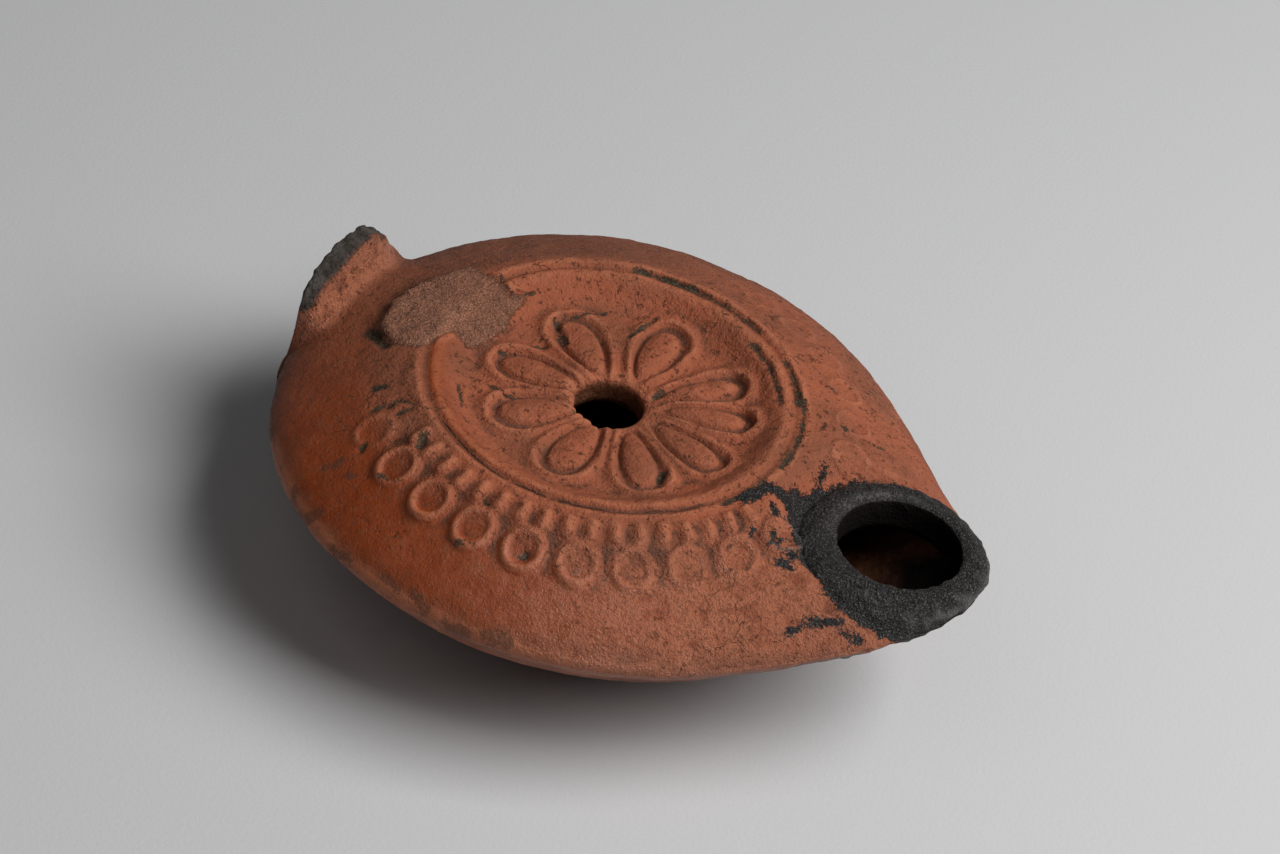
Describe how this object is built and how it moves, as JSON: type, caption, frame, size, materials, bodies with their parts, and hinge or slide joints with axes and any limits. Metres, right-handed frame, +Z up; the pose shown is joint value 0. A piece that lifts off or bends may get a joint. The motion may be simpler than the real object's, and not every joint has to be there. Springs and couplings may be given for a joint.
{
  "type": "roman oil lamp",
  "caption": "Teardrop clay oil lamp with a sunk pierced discus bearing a rosette, a ring frieze on the shoulder, a round sooted nozzle and a broken handle stub.",
  "frame": {"origin": "centre of the flat underside of the base", "axes": "+X towards the nozzle along the lamp's length, +Y to the side away from the viewer of the picture, +Z up out of the base"},
  "size_m": [0.088, 0.0767, 0.0281],
  "materials": {
    "clay": "worn red-brown fired clay, black soot on the nozzle, matte"
  },
  "bodies": {
    "root": {"lamp_body": "clay"}
  },
  "joints": []
}
